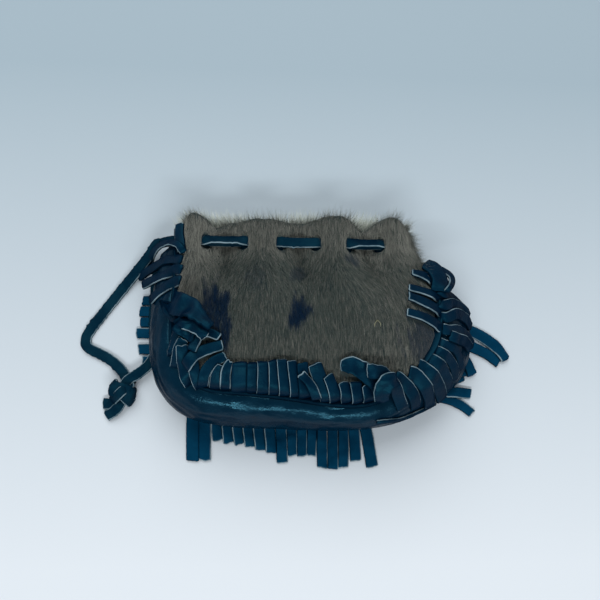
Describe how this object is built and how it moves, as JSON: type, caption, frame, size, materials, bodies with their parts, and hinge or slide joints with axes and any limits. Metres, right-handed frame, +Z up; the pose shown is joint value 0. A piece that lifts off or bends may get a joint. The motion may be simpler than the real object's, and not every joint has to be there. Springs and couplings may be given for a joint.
{
  "type": "drawstring pouch",
  "caption": "Small flat-lying drawstring pouch of hair-on hide, gathered at the mouth, with a bulged smooth leather gusset, fringed welts and a knotted flat lace.",
  "frame": {"origin": "on the table, under the middle of the bag without its free loop of lace", "axes": "+X to the right across the mouth, +Y toward the mouth, +Z up out of the front panel"},
  "size_m": [0.1829, 0.105, 0.0402],
  "materials": {
    "front_hide": "short hair lying one way, dull",
    "back_hide": "short pale hair, dull",
    "gusset_leather": "smooth, semi-gloss, creased",
    "front_fringe_leather": "smooth, satin, light cut edges",
    "back_fringe_leather": "smooth, satin, light cut edges",
    "drawstring_leather": "satin, light cut edges",
    "upper_run_leather": "satin, light cut edges",
    "lower_run_leather": "satin, light cut edges",
    "knot_leather": "satin, light cut edges"
  },
  "bodies": {
    "root": {"front_panel": "front_hide", "back_panel": "back_hide", "gusset": "gusset_leather", "front_fringe": "front_fringe_leather", "back_fringe": "back_fringe_leather", "drawstring": "drawstring_leather", "drawstring_upper_run": "upper_run_leather", "drawstring_lower_run": "lower_run_leather", "drawstring_knot": "knot_leather"}
  },
  "joints": []
}
